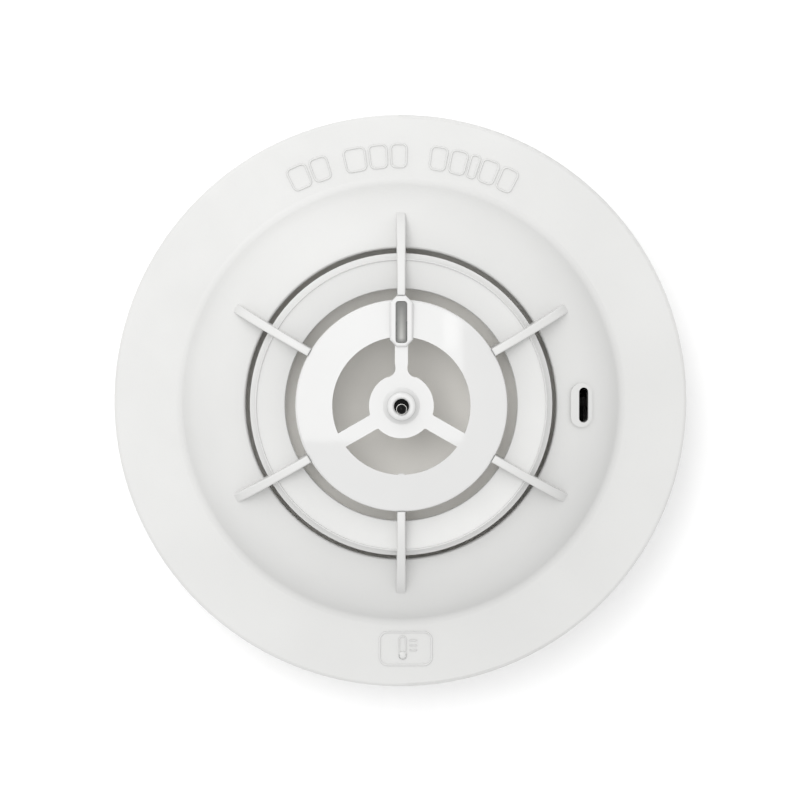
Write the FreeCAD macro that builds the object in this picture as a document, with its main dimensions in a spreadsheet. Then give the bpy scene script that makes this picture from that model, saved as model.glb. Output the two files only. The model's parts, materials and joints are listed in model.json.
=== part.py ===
import FreeCAD, Part
import math
import os
import Sketcher
from FreeCAD import Vector

# Ceiling point heat detector, millimetres.
# The back of the mounting base is z = 0 and the sensing face looks along +Z.
# The alarm light is on +Y and the lock-release slot is on +X.

DIMENSIONS = {
    # outer cover
    "flange_radius": 55.0,
    "flange_edge_height": 24.0,
    "flange_underside": 22.2,
    "flange_edge_round": 0.7,
    "flange_lip_height": 1.3,
    "flange_overhang": 0.45,
    "flange_overhang_rise": 1.9,
    "flange_cove_radius": 4.0,
    "skirt_foot_radius": 53.7,
    "skirt_inner_radius": 51.6,
    "skirt_foot_height": 8.0,
    "dome_foot_radius": 42.2,
    "dome_foot_height": 24.53,
    "dome_edge_radius": 29.5,
    "dome_edge_height": 33.5,
    "dome_arc_radius": 18.5,
    "dome_wall": 1.8,
    "dome_foot_round": 1.8,
    "dome_edge_round": 0.4,
    # guard ring
    "ring_outer_radius": 28.65,
    "ring_crest_radius": 27.55,
    "ring_inner_radius": 21.95,
    "ring_foot_height": 35.4,
    "ring_crest_height": 38.4,
    "ring_dish_height": 37.4,
    "ring_thickness": 1.2,
    "ring_side_flat": 0.5,
    "ring_side_radius": 6.0,
    "ring_crest_flat": 0.15,
    "ring_inner_round": 0.25,
    "ring_crest_round": 0.15,
    # fins and the hidden ring that carries the cap
    "fin_inner_radius": 20.03,
    "fin_outer_radius": 36.4,
    "fin_top_height": 41.0,
    "fin_foot_height": 30.71,
    "fin_underside": 34.6,
    "fin_arc_radius": 16.7,
    "fin_top_width": 1.5,
    "fin_draft_width": 0.0349,
    "fin_top_round": 0.3,
    "carrier_inner_radius": 16.6,
    "carrier_outer_radius": 18.6,
    "carrier_low": 36.0,
    "carrier_high": 38.0,
    # centre cap
    "cap_radius": 20.0,
    "cap_rim_height": 40.6,
    "cap_hub_height": 41.55,
    "cap_crown_radius": 180.0,
    "cap_plate": 1.5,
    "cap_edge_height": 1.8,
    "cap_edge_round": 0.4,
    "hub_radius": 6.1,
    "window_outer_radius": 13.03,
    "wide_spoke": 2.9,
    "wide_spoke_flare": 0.5,
    "light_spoke": 2.45,
    "light_spoke_flare": 1.8,
    "nozzle_height": 43.6,
    "nozzle_radius": 2.68,
    "nozzle_hole_radius": 1.4,
    "nozzle_edge_round": 0.5,
    "nozzle_bore_round": 0.4,
    "nozzle_base_radius": 3.5,
    "nozzle_cove_radius": 1.8,
    "boot_radius": 2.0,
    "boot_clearance": 0.3,
    "boot_top": 42.6,
    "socket_wall": 1.3,
    "bezel_width": 4.35,
    "bezel_inner": 11.1,
    "bezel_outer": 20.75,
    "bezel_height": 41.8,
    "bezel_corner": 1.3,
    "bezel_round": 0.4,
    "pipe_width": 2.0,
    "pipe_inner": 11.95,
    "pipe_outer": 19.65,
    "pipe_corner": 0.5,
    "pipe_fit": 0.1,
    "stem_inner": 12.0,
    "stem_outer": 15.6,
    # lock-release slot in the dome
    "tool_slot_radius": 34.8,
    "tool_slot_offset": -0.3,
    "tool_slot_width": 1.8,
    "tool_slot_length": 6.7,
    "tool_rim_width": 4.2,
    "tool_rim_length": 8.4,
    "tool_rim_shift": 0.4,
    "tool_rim_proud": 0.5,
    # thermistor
    "bead_radius": 0.93,
    "bead_offset": -0.5,
    "bead_height": 44.3,
    "lead_radius": 0.2,
    "lead_spread": 0.45,
    # baffle
    "baffle_floor": 23.5,
    "baffle_wall": 1.2,
    "baffle_throat_radius": 6.0,
    "baffle_rim_radius": 26.8,
    "baffle_rim_height": 33.6,
    "baffle_shelf_height": 25.0,
    "baffle_shelf_radius": 36.0,
    # circuit board
    "board_radius": 36.0,
    "board_low": 16.8,
    "board_high": 18.4,
    # rear housing
    "housing_radius": 51.3,
    "housing_low": 13.4,
    "housing_high": 15.2,
    "housing_rim_radius": 46.0,
    "housing_rim_wall": 1.6,
    "housing_rim_low": 8.0,
    "lug_radius": 47.7,
    "lug_low": 8.9,
    "lug_high": 10.3,
    "standoff_radius": 3.0,
    "label_radius": 25.0,
    "label_sheet": 0.3,
    # mounting base
    "base_radius": 53.2,
    "base_top_radius": 52.8,
    "base_rim_height": 7.4,
    "base_rim_wall": 1.9,
    "base_floor": 2.4,
    "back_recess": 0.8,
    "back_face_inner": 47.0,
    "bayonet_inner": 48.0,
    "bayonet_outer": 49.6,
    "bayonet_height": 12.6,
    "ledge_inner": 46.4,
    "ledge_low": 10.6,
    "slot_half_width": 2.2,
    "slot_length": 14.0,
    "slot_spacing_x": 50.0,
    "slot_spacing_y": 60.0,
    "cable_entry_length": 24.0,
    "cable_entry_width": 16.0,
    "cable_entry_corner": 2.0,
    # contacts
    "clip_inner": 34.6,
    "clip_outer": 39.2,
    "clip_sheet": 0.6,
    "clip_low": 5.6,
    "clip_high": 8.2,
    "blade_inner": 33.0,
    "blade_outer": 38.0,
    "blade_low": 6.5,
    "blade_sheet": 0.8,
    "blade_top": 19.2,
    "rivet_radius": 1.0,
    "rivet_circle": 30.2,
    "terminal_circle": 37.0,
    "terminal_screw_radius": 1.75,
    "terminal_screw_tip": 1.6,
    "washer_sheet": 1.0,
    "washer_half": 3.4,
    # fasteners
    "frame_screw_circle": 30.0,
    "frame_screw_radius": 1.25,
    "frame_screw_play": 0.25,
    "frame_screw_head": 2.4,
    "frame_screw_head_height": 1.4,
    "frame_screw_tip": 23.0,
    "cover_screw_circle": 40.0,
    "cover_screw_radius": 1.5,
    "cover_screw_play": 0.2,
    "cover_screw_head": 2.8,
    "cover_screw_head_height": 1.8,
    "cover_screw_tip": 20.8,
    # lock tongue
    "tongue_inner": 33.6,
    "tongue_outer": 36.0,
    "tongue_root": -11.4,
    "tongue_tip": 1.6,
    "tongue_low": 5.6,
    "tongue_leaf": 1.0,
    "tongue_top": 14.2,
}

# How far a cut runs past the face it opens, and how far a raised piece is rooted in what it stands on.
PAST = 1.0
ROOT = 0.2
# Two points or curves nearer than this are taken as one.
SAME_PLACE = 0.02

# Angles in degrees, anticlockwise from +X as seen from the sensing face.
FIN_ANGLE = 90
FIN_COUNT = 6
FIN_STEP = 360 / FIN_COUNT
THIRDS = (60, 180, 300)
LUG_ANGLE = 30
LUG_HALF_ARC = 6.5
LEDGE_HALF_ARC = 8.0
CONTACT_ANGLE = 45
CONTACT_HALF_ARC = 6.5
LEG_HALF_ARC = 4.0
LEG_SLOT_HALF_ARC = 4.6
TERMINAL_ANGLE = 29
TERMINAL_LEAF_ARC = 5.5
SNAP_LEG_ANGLE = 30
SNAP_LEG_HALF_ARC = 6.0
TONGUE_SLOT_ARC = (-21.5, 6.0)
CONTACT_COUNT = 4

# Places on the circuit board: x, y and, for packages, whether turned by a quarter.
CAPACITOR_PLACES = ((21, -4), (18, 13))
CONTROLLER_PLACE = ((-14, -13, False),)
INTERFACE_PLACES = ((14, -13, False), (-25, -8, False))
CHIP_PART_PLACES = ((-7.5, 24, False), (-3.5, 24, False), (9, 25, True), (13, 22, True), (17, 19, True),
                    (-22, 8, False), (-22, 4.5, False), (-22, 1, False), (8, -22, True), (12, -22, True),
                    (-6, -26, False), (-10, -24, False), (24, 8, False), (24, 11.5, False),
                    (-19, 17, True), (-15, 20, True))

doc = FreeCAD.newDocument("heat_detector")
sheet = doc.addObject("Spreadsheet::Sheet", "dims")


class Size:
    """A length that keeps its number together with the sheet expression behind it."""

    def __init__(self, value, text):
        self.value = value
        self.text = text

    def _joined(self, other, sign, value):
        return Size(value, "(" + self.text + " " + sign + " " + other.text + ")")

    def __add__(self, other):
        other = as_size(other)
        return self._joined(other, "+", self.value + other.value)

    def __sub__(self, other):
        other = as_size(other)
        return self._joined(other, "-", self.value - other.value)

    def __mul__(self, other):
        other = as_size(other)
        return self._joined(other, "*", self.value * other.value)

    def __truediv__(self, other):
        other = as_size(other)
        return self._joined(other, "/", self.value / other.value)

    def __neg__(self):
        return self * -1

    def __radd__(self, other):
        return as_size(other) + self

    def __rsub__(self, other):
        return as_size(other) - self

    def __rmul__(self, other):
        return as_size(other) * self


def as_size(number):
    """A plain number as a Size, so that both can be mixed in a formula."""
    if isinstance(number, Size):
        return number
    return Size(float(number), "{:.6f}".format(number))


class Dimensions:
    """The sheet's cells as Sizes, one attribute each."""

    def __init__(self, table):
        for row, (alias, value) in enumerate(table.items(), start=1):
            cell = "B{}".format(row)
            sheet.set("A{}".format(row), alias)
            sheet.set(cell, str(value))
            sheet.setAlias(cell, alias)
            setattr(self, alias, Size(value, "dims." + alias))


d = Dimensions(DIMENSIONS)
doc.recompute()


# ---------------------------------------------------------------- drawing helpers

class Arc:
    """A corner of an outline that an arc leads to; side +1 bulges to the left of travel."""

    def __init__(self, x, y, radius, side):
        self.x = x
        self.y = y
        self.radius = radius
        self.side = side


def bind(thing, name, size):
    thing.setExpression(name, as_size(size).text)


def new_body(name):
    body = doc.addObject("PartDesign::Body", name)
    body.Label = name
    return body


def origin_feature(body, role):
    return next(item for item in body.Origin.OriginFeatures if item.Role == role)


def new_sketch(body, name, plane="XY_Plane", height=None):
    sketch = body.newObject("Sketcher::SketchObject", name)
    sketch.AttachmentSupport = [(origin_feature(body, plane), "")]
    sketch.MapMode = "FlatFace"
    if height is not None:
        bind(sketch, "AttachmentOffset.Base.z", height)
    return sketch


def add_dimension(sketch, constraint, size):
    index = sketch.addConstraint(constraint)
    bind(sketch, "Constraints[{}]".format(index), size)


def pin_point(sketch, edge, end, x, y):
    """Holds one sketch point at a place given by two Sizes."""
    for kind, axis, size in (("DistanceX", -2, as_size(x)), ("DistanceY", -1, as_size(y))):
        if abs(size.value) < 1e-9:
            sketch.addConstraint(Sketcher.Constraint("PointOnObject", edge, end, axis))
        else:
            add_dimension(sketch, Sketcher.Constraint(kind, -1, 1, edge, end, size.value), size)


def arc_edge(start, end, radius, side):
    """The arc from start to end, and whether its own sense runs against the outline."""
    chord = end - start
    middle = (start + end) * 0.5
    left = Vector(-chord.y, chord.x, 0).normalize()
    centre = middle - left * (side * math.sqrt(max(0.0, radius ** 2 - (chord.Length / 2) ** 2)))
    from_angle = math.atan2(start.y - centre.y, start.x - centre.x)
    to_angle = math.atan2(end.y - centre.y, end.x - centre.x)
    against = side > 0
    if against:
        from_angle, to_angle = to_angle, from_angle
    circle = Part.Circle(centre, Vector(0, 0, 1), radius)
    return Part.ArcOfCircle(circle, from_angle, to_angle), against


def centre_on_chord(sketch, edge, start, end):
    """Makes an arc a half turn, for a chord that runs along X or Y."""
    middle_x, middle_y = (start[0] + end[0]) / 2, (start[1] + end[1]) / 2
    along_x = abs(start[0].value - end[0].value) > abs(start[1].value - end[1].value)
    kind, size, axis = ("DistanceY", middle_y, -1) if along_x else ("DistanceX", middle_x, -2)
    if abs(size.value) < 1e-9:
        sketch.addConstraint(Sketcher.Constraint("PointOnObject", edge, 3, axis))
    else:
        add_dimension(sketch, Sketcher.Constraint(kind, -1, 1, edge, 3, size.value), size)


def draw_outline(sketch, corners):
    """Adds one closed outline whose corners are (x, y) pairs or Arcs, all bound to the sheet."""
    places = []
    for corner in corners:
        x, y = (corner.x, corner.y) if isinstance(corner, Arc) else corner
        places.append((as_size(x), as_size(y)))
    first_edge = sketch.GeometryCount
    count = len(corners)
    starts, ends = [], []
    for index in range(count):
        following = corners[(index + 1) % count]
        start = Vector(places[index][0].value, places[index][1].value, 0)
        end = Vector(places[(index + 1) % count][0].value, places[(index + 1) % count][1].value, 0)
        edge = first_edge + index
        if isinstance(following, Arc):
            radius = as_size(following.radius)
            geometry, against = arc_edge(start, end, radius.value, following.side)
            sketch.addGeometry(geometry, False)
            if radius.value > (end - start).Length * 0.5001:
                add_dimension(sketch, Sketcher.Constraint("Radius", edge, radius.value), radius)
            else:
                centre_on_chord(sketch, edge, places[index], places[(index + 1) % count])
        else:
            against = False
            sketch.addGeometry(Part.LineSegment(start, end), False)
        starts.append(2 if against else 1)
        ends.append(1 if against else 2)
    for index in range(count):
        following = (index + 1) % count
        joint = Sketcher.Constraint("Coincident", first_edge + index, ends[index],
                                    first_edge + following, starts[following])
        sketch.addConstraint(joint)
        pin_point(sketch, first_edge + index, starts[index], *places[index])


def draw_circle(sketch, x, y, radius):
    centre = Vector(as_size(x).value, as_size(y).value, 0)
    edge = sketch.addGeometry(Part.Circle(centre, Vector(0, 0, 1), as_size(radius).value), False)
    pin_point(sketch, edge, 3, x, y)
    add_dimension(sketch, Sketcher.Constraint("Radius", edge, as_size(radius).value), radius)


def polar(radius, angle):
    turn = math.radians(angle)
    return radius * round(math.cos(turn), 6), radius * round(math.sin(turn), 6)


def rectangle(low_x, low_y, high_x, high_y):
    return [(low_x, low_y), (high_x, low_y), (high_x, high_y), (low_x, high_y)]


def rounded_rectangle(low_x, low_y, high_x, high_y, corner):
    return [Arc(low_x + corner, low_y, corner, -1), (high_x - corner, low_y),
            Arc(high_x, low_y + corner, corner, -1), (high_x, high_y - corner),
            Arc(high_x - corner, high_y, corner, -1), (low_x + corner, high_y),
            Arc(low_x, high_y - corner, corner, -1), (low_x, low_y + corner)]


def centred_rectangle(x, y, width, depth):
    return rectangle(x - width / 2, y - depth / 2, x + width / 2, y + depth / 2)


def cut_corner_box(width, depth, corner):
    """A rectangle round the origin with its corners cut off."""
    half_x, half_y = width / 2, depth / 2
    return [(corner - half_x, -half_y), (half_x - corner, -half_y), (half_x, corner - half_y),
            (half_x, half_y - corner), (half_x - corner, half_y), (corner - half_x, half_y),
            (-half_x, half_y - corner), (-half_x, corner - half_y)]


def sector(inner, outer, from_angle, to_angle):
    """A piece of a flat ring, between two radii and two angles."""
    return [Arc(*polar(inner, from_angle), inner, 1), polar(outer, from_angle),
            Arc(*polar(outer, to_angle), outer, -1), polar(inner, to_angle)]


def radial_bar(inner, outer, width, angle):
    """A straight bar between two radii, centred on an angle."""
    (near_x, near_y), (far_x, far_y) = polar(as_size(inner), angle), polar(as_size(outer), angle)
    side_x, side_y = polar(as_size(width) / 2, angle + 90)
    return [(near_x - side_x, near_y - side_y), (far_x - side_x, far_y - side_y),
            (far_x + side_x, far_y + side_y), (near_x + side_x, near_y + side_y)]


def slot_along_x(x, y, width, length):
    """A slot outline with round ends."""
    half = width / 2
    reach = (length - width) / 2
    return [Arc(x - reach, y - half, half, -1), (x + reach, y - half),
            Arc(x + reach, y + half, half, -1), (x - reach, y + half)]


def slot_along_y(x, y, width, length):
    half = width / 2
    reach = (length - width) / 2
    return [Arc(x + half, y - reach, half, -1), (x + half, y + reach),
            Arc(x - half, y + reach, half, -1), (x - half, y - reach)]


# ---------------------------------------------------------------- feature helpers

def take_profile(body, kind, name, sketch):
    feature = body.newObject(kind, name)
    feature.Profile = sketch
    sketch.Visibility = False
    return feature


def turn(body, name, corners, cut=False, angle=360.0):
    """Revolves an outline drawn as (radius, height) about the Z axis."""
    sketch = new_sketch(body, name + "_profile", "XZ_Plane")
    draw_outline(sketch, corners)
    feature = take_profile(body, "PartDesign::Groove" if cut else "PartDesign::Revolution", name, sketch)
    feature.ReferenceAxis = (sketch, ["V_Axis"])
    feature.Angle = angle
    feature.Midplane = angle < 360
    return feature


def raise_outline(body, name, outlines, low, high):
    """Pads one or more outlines, drawn seen from above, from one height up to another."""
    sketch = new_sketch(body, name + "_outline", height=low)
    for corners in outlines:
        draw_outline(sketch, corners)
    feature = take_profile(body, "PartDesign::Pad", name, sketch)
    bind(feature, "Length", high - low)
    return feature


def sink_outline(body, name, outlines, high, low):
    """Pockets outlines, drawn seen from above, from one height down to another."""
    sketch = new_sketch(body, name + "_outline", height=high)
    for corners in outlines:
        draw_outline(sketch, corners)
    feature = take_profile(body, "PartDesign::Pocket", name, sketch)
    bind(feature, "Length", high - low)
    return feature


def raise_disc(body, name, x, y, radius, low, high, bore=None):
    sketch = new_sketch(body, name + "_circle", height=low)
    draw_circle(sketch, x, y, radius)
    if bore is not None:
        draw_circle(sketch, x, y, bore)
    feature = take_profile(body, "PartDesign::Pad", name, sketch)
    bind(feature, "Length", high - low)
    return feature


def sink_disc(body, name, x, y, radius, high, low):
    sketch = new_sketch(body, name + "_circle", height=high)
    draw_circle(sketch, x, y, radius)
    feature = take_profile(body, "PartDesign::Pocket", name, sketch)
    bind(feature, "Length", high - low)
    return feature


def repeat_round(body, name, features, count):
    """Repeats features evenly round the Z axis."""
    pattern = body.newObject("PartDesign::PolarPattern", name)
    pattern.Originals = features
    pattern.Axis = (origin_feature(body, "Z_Axis"), [""])
    pattern.Angle = 360
    pattern.Occurrences = count
    body.Tip = pattern
    return pattern


def round_edges(body, name, is_wanted, radius):
    """Fillets the edges of the finished solid that is_wanted picks."""
    doc.recompute()
    base = body.Tip
    names = ["Edge{}".format(number) for number, edge in enumerate(base.Shape.Edges, start=1)
             if is_wanted(edge)]
    if not names:
        raise RuntimeError("no edges for " + name)
    fillet = body.newObject("PartDesign::Fillet", name)
    fillet.Base = (base, names)
    bind(fillet, "Radius", radius)
    body.Tip = fillet
    return fillet


def is_ring_edge(edge, radius, height):
    """True for a circle about the Z axis of this radius at this height."""
    curve = edge.Curve
    if not isinstance(curve, Part.Circle) or math.hypot(curve.Center.x, curve.Center.y) > SAME_PLACE:
        return False
    off_radius, off_height = abs(curve.Radius - radius.value), abs(curve.Center.z - height.value)
    return off_radius < SAME_PLACE and off_height < SAME_PLACE


def round_ring(body, name, ring_radius, height, radius):
    round_edges(body, name, lambda edge: is_ring_edge(edge, ring_radius, height), radius)


def make_alignment_tick(body, outer_radius, low, high):
    """A small upright mark on the side of the body, in line with the alarm light."""
    half_width, rooted, proud = 0.7, 1.0, 0.8
    raise_outline(body, "alignment_tick",
                  [rectangle(-half_width, outer_radius - rooted, half_width, outer_radius + proud)],
                  low, high)


# ---------------------------------------------------------------- outer cover

def is_fin_top_edge(edge):
    """True for a long edge that lies in the convex top of one of the six fins."""
    if edge.Length < d.fin_top_width.value:
        return False
    foot = Vector(d.fin_outer_radius.value, d.fin_foot_height.value, 0)
    head = Vector(d.fin_inner_radius.value, d.fin_top_height.value, 0)
    centre = arc_edge(foot, head, d.fin_arc_radius.value, -1)[0].Center
    for share in (0, 0.25, 0.5, 0.75, 1):
        point = edge.valueAt(edge.FirstParameter + (edge.LastParameter - edge.FirstParameter) * share)
        off_fin = (math.degrees(math.atan2(point.y, point.x)) - FIN_ANGLE + FIN_STEP / 2) % FIN_STEP
        off_fin -= FIN_STEP / 2
        along = math.hypot(point.x, point.y) * math.cos(math.radians(off_fin))
        reach = math.hypot(along - centre.x, point.z - centre.y)
        if abs(reach - d.fin_arc_radius.value) > SAME_PLACE * 2:
            return False
    return True


def dome_centre():
    """Centre of the dome's arc, as plain (radius, height) numbers."""
    foot = Vector(d.dome_foot_radius.value, d.dome_foot_height.value, 0)
    edge = Vector(d.dome_edge_radius.value, d.dome_edge_height.value, 0)
    arc = arc_edge(foot, edge, d.dome_arc_radius.value, -1)[0]
    return arc.Center.x, arc.Center.y


def dome_height(radius, offset=0.0):
    """Height of the dome at a radius, or of a surface offset outwards from it."""
    centre_radius, centre_height = dome_centre()
    reach = d.dome_arc_radius.value + offset
    return centre_height + math.sqrt(reach ** 2 - (radius - centre_radius) ** 2)


def make_fins(body):
    """Six thin bridges from the dome over the guard ring to the cap, wider at their root."""
    side = new_sketch(body, "fin_side", "YZ_Plane")
    carrier_bite, carrier_overlap, heel_rise = 0.6, 0.4, 0.8
    landing_depth, web_depth, web_root, ring_bite, crest_bite = 1.1, 1.5, 0.7, 0.25, 0.1
    draw_outline(side, [
        Arc(d.fin_inner_radius, d.fin_top_height, d.fin_arc_radius, -1),
        (d.fin_inner_radius, d.carrier_high - carrier_overlap),
        (d.carrier_outer_radius - carrier_bite, d.carrier_high - carrier_overlap),
        (d.carrier_outer_radius - carrier_bite, d.fin_underside + heel_rise),
        (d.fin_inner_radius - carrier_bite, d.fin_underside),
        (d.ring_crest_radius - crest_bite, d.fin_underside),
        (d.ring_outer_radius - ring_bite, d.dome_edge_height - web_depth),
        (d.dome_edge_radius + web_root, d.dome_edge_height - web_depth),
        (d.fin_outer_radius, d.fin_foot_height - landing_depth),
        (d.fin_outer_radius, d.fin_foot_height)])
    slab = take_profile(body, "PartDesign::Pad", "fin_slab", side)
    bind(slab, "Length", d.fin_top_width * 2)
    slab.Midplane = True

    draft = new_sketch(body, "fin_draft_profile", "XZ_Plane")
    above = d.fin_top_height + PAST
    below = d.fin_foot_height - 3 * PAST
    half_above = d.fin_top_width / 2 - d.fin_draft_width / 2
    half_below = d.fin_top_width / 2 + (d.fin_top_height - below) * d.fin_draft_width / 2
    clear = d.fin_top_width * 2
    draw_outline(draft, [(half_above, above), (half_below, below), (clear, below), (clear, above)])
    draw_outline(draft, [(-half_above, above), (-half_below, below), (-clear, below), (-clear, above)])
    shave = take_profile(body, "PartDesign::Pocket", "fin_draft", draft)
    bind(shave, "Length", (d.fin_outer_radius + 4 * PAST) * 2)
    shave.Midplane = True
    repeat_round(body, "six_fins", [slab, shave], FIN_COUNT)


def make_cover_shell(body):
    inner_arc = d.dome_arc_radius - d.dome_wall
    centre_radius, centre_height = dome_centre()
    foot_rise = d.flange_underside.value - centre_height
    inner_foot = centre_radius + math.sqrt(inner_arc.value ** 2 - foot_rise ** 2)
    edge_round = d.flange_edge_round
    lip_foot = d.flange_edge_height - d.flange_lip_height
    turn(body, "shell", [
        (d.skirt_foot_radius, d.skirt_foot_height),
        (d.flange_radius - d.flange_overhang, lip_foot - d.flange_overhang_rise),
        Arc(d.flange_radius, lip_foot, d.flange_cove_radius, 1),
        (d.flange_radius, d.flange_edge_height - edge_round),
        Arc(d.flange_radius - edge_round, d.flange_edge_height, edge_round, -1),
        (d.dome_foot_radius, d.dome_foot_height),
        Arc(d.dome_edge_radius, d.dome_edge_height, d.dome_arc_radius, -1),
        (d.dome_edge_radius, dome_height(d.dome_edge_radius.value, -d.dome_wall.value)),
        Arc(inner_foot, d.flange_underside, inner_arc, 1),
        (d.skirt_inner_radius, d.flange_underside),
        (d.skirt_inner_radius, d.skirt_foot_height)])


def make_guard_ring(body):
    """The dished ring round the cap, with a raised crest, and the hidden ring that carries the cap."""
    crest_inner = d.ring_crest_radius - d.ring_crest_flat
    crest_step, crest_drop, crest_width = 0.1, 0.35, 0.9
    dish_rim = d.ring_crest_height - crest_drop
    turn(body, "guard_ring", [
        (d.ring_outer_radius, d.ring_foot_height),
        (d.ring_outer_radius, d.ring_foot_height + d.ring_side_flat),
        Arc(d.ring_crest_radius, d.ring_crest_height, d.ring_side_radius, 1),
        (crest_inner, d.ring_crest_height),
        (crest_inner - crest_step, dish_rim),
        (d.ring_inner_radius, d.ring_dish_height),
        (d.ring_inner_radius, d.ring_dish_height - d.ring_thickness),
        (d.ring_crest_radius - crest_width, dish_rim - d.ring_thickness),
        (d.ring_outer_radius - d.ring_thickness, d.ring_foot_height)])
    turn(body, "carrier_ring",
         rectangle(d.carrier_inner_radius, d.carrier_low, d.carrier_outer_radius, d.carrier_high))


def make_tool_slot(body):
    """The lock-release slot, with a low raised rim that follows the dome."""
    x, y = d.tool_slot_radius, d.tool_slot_offset
    rim_foot, rim_top = d.dome_edge_height - 5, d.dome_edge_height + 2
    raise_outline(body, "tool_rim", [slot_along_y(x - d.tool_rim_shift, y, d.tool_rim_width,
                                                  d.tool_rim_length)], rim_foot, rim_top)
    proud, trim_sweep = d.tool_rim_proud.value, 24.0
    near, far = x.value - d.tool_rim_width.value, x.value + d.tool_rim_width.value * 0.8
    turn(body, "tool_rim_top", [
        (near, dome_height(near, proud)),
        Arc(far, dome_height(far, proud), d.dome_arc_radius + d.tool_rim_proud, 1),
        (far, rim_top + PAST),
        (near, rim_top + PAST)], cut=True, angle=trim_sweep)
    sink_outline(body, "tool_slot", [slot_along_y(x, y, d.tool_slot_width, d.tool_slot_length)],
                 rim_top, rim_foot - 3 * PAST)


def make_outer_cover():
    """Skirt, flange, dome, fins and guard ring in one moulding, with three screw bosses inside."""
    body = new_body("outer_cover")
    make_fins(body)
    make_cover_shell(body)
    make_guard_ring(body)
    boss_root, boss_roof = 1.2, 1.0
    boss_x, boss_y = polar(d.cover_screw_circle, THIRDS[0])
    boss = raise_disc(body, "screw_boss", boss_x, boss_y, d.cover_screw_radius * 2,
                      d.housing_high, d.flange_underside + boss_root)
    repeat_round(body, "screw_bosses", [boss], len(THIRDS))
    pilot = sink_disc(body, "screw_pilot", boss_x, boss_y, d.cover_screw_radius,
                      d.flange_underside - boss_roof, d.housing_high)
    repeat_round(body, "screw_pilots", [pilot], len(THIRDS))
    make_tool_slot(body)
    tick_low, tick_high = 0.4, 5.0
    make_alignment_tick(body, d.skirt_foot_radius, d.skirt_foot_height + tick_low,
                        d.skirt_foot_height + tick_high)
    notch_gap, notch_depth = 0.15, 0.6
    sink_outline(body, "bezel_notch", [rectangle(-d.bezel_width, d.cap_radius - notch_gap,
                                                 d.bezel_width, d.bezel_outer + notch_gap)],
                 d.fin_top_height + 2 * PAST, d.cap_rim_height - notch_depth)
    round_ring(body, "dome_foot_rounding", d.dome_foot_radius, d.dome_foot_height, d.dome_foot_round)
    round_ring(body, "dome_edge_rounding", d.dome_edge_radius, d.dome_edge_height, d.dome_edge_round)
    round_ring(body, "ring_inner_rounding", d.ring_inner_radius, d.ring_dish_height, d.ring_inner_round)
    round_ring(body, "ring_crest_rounding", d.ring_crest_radius - d.ring_crest_flat,
               d.ring_crest_height, d.ring_crest_round)
    round_edges(body, "fin_top_rounding", is_fin_top_edge, d.fin_top_round)
    return body


# ---------------------------------------------------------------- centre cap

def make_windows(body):
    """Three openings between the hub, the outer disc and three straight spokes with flared roots."""
    light, wide = (d.light_spoke, d.light_spoke_flare), (d.wide_spoke, d.wide_spoke_flare)
    spokes = ((90, *light), (210, *wide), (330, *wide), (450, *light))
    inner, outer = d.hub_radius, d.window_outer_radius

    def side_angle(width, radius):
        """Degrees from a spoke's middle line to its side, at a radius."""
        return math.degrees(math.asin(width.value / 2 / radius.value))

    def root_angle(width, flare):
        """Degrees from a spoke's middle line to where its flare ends on the hub."""
        return side_angle(width, inner) + math.degrees(flare.value / inner.value)

    for number in range(3):
        (first, first_width, first_flare), (second, second_width, second_flare) = spokes[number:number + 2]
        first_root, second_root = inner + first_flare, inner + second_flare
        corners = [Arc(*polar(inner, first + root_angle(first_width, first_flare)), inner, 1),
                   Arc(*polar(first_root, first + side_angle(first_width, first_root)), first_flare, -1),
                   polar(outer, first + side_angle(first_width, outer)),
                   Arc(*polar(outer, second - side_angle(second_width, outer)), outer, -1),
                   polar(second_root, second - side_angle(second_width, second_root)),
                   Arc(*polar(inner, second - root_angle(second_width, second_flare)), second_flare, -1)]
        sink_outline(body, "window_{}".format(number + 1), [corners], d.cap_hub_height + PAST,
                     d.cap_rim_height - d.cap_plate * 2)


def is_bezel_rim_edge(edge):
    """True for the straight outer edges of the light bezel's top, and not for those of its window."""
    low, high = edge.valueAt(edge.FirstParameter), edge.valueAt(edge.LastParameter)
    on_top = all(abs(point.z - d.bezel_height.value) < SAME_PLACE for point in (low, high))
    middle = (low + high) * 0.5
    reach = d.pipe_fit.value * 2
    beside = abs(middle.x) < d.pipe_width.value / 2 + reach
    between = d.pipe_inner.value - reach < middle.y < d.pipe_outer.value + reach
    return on_top and not (beside and between)


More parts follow.
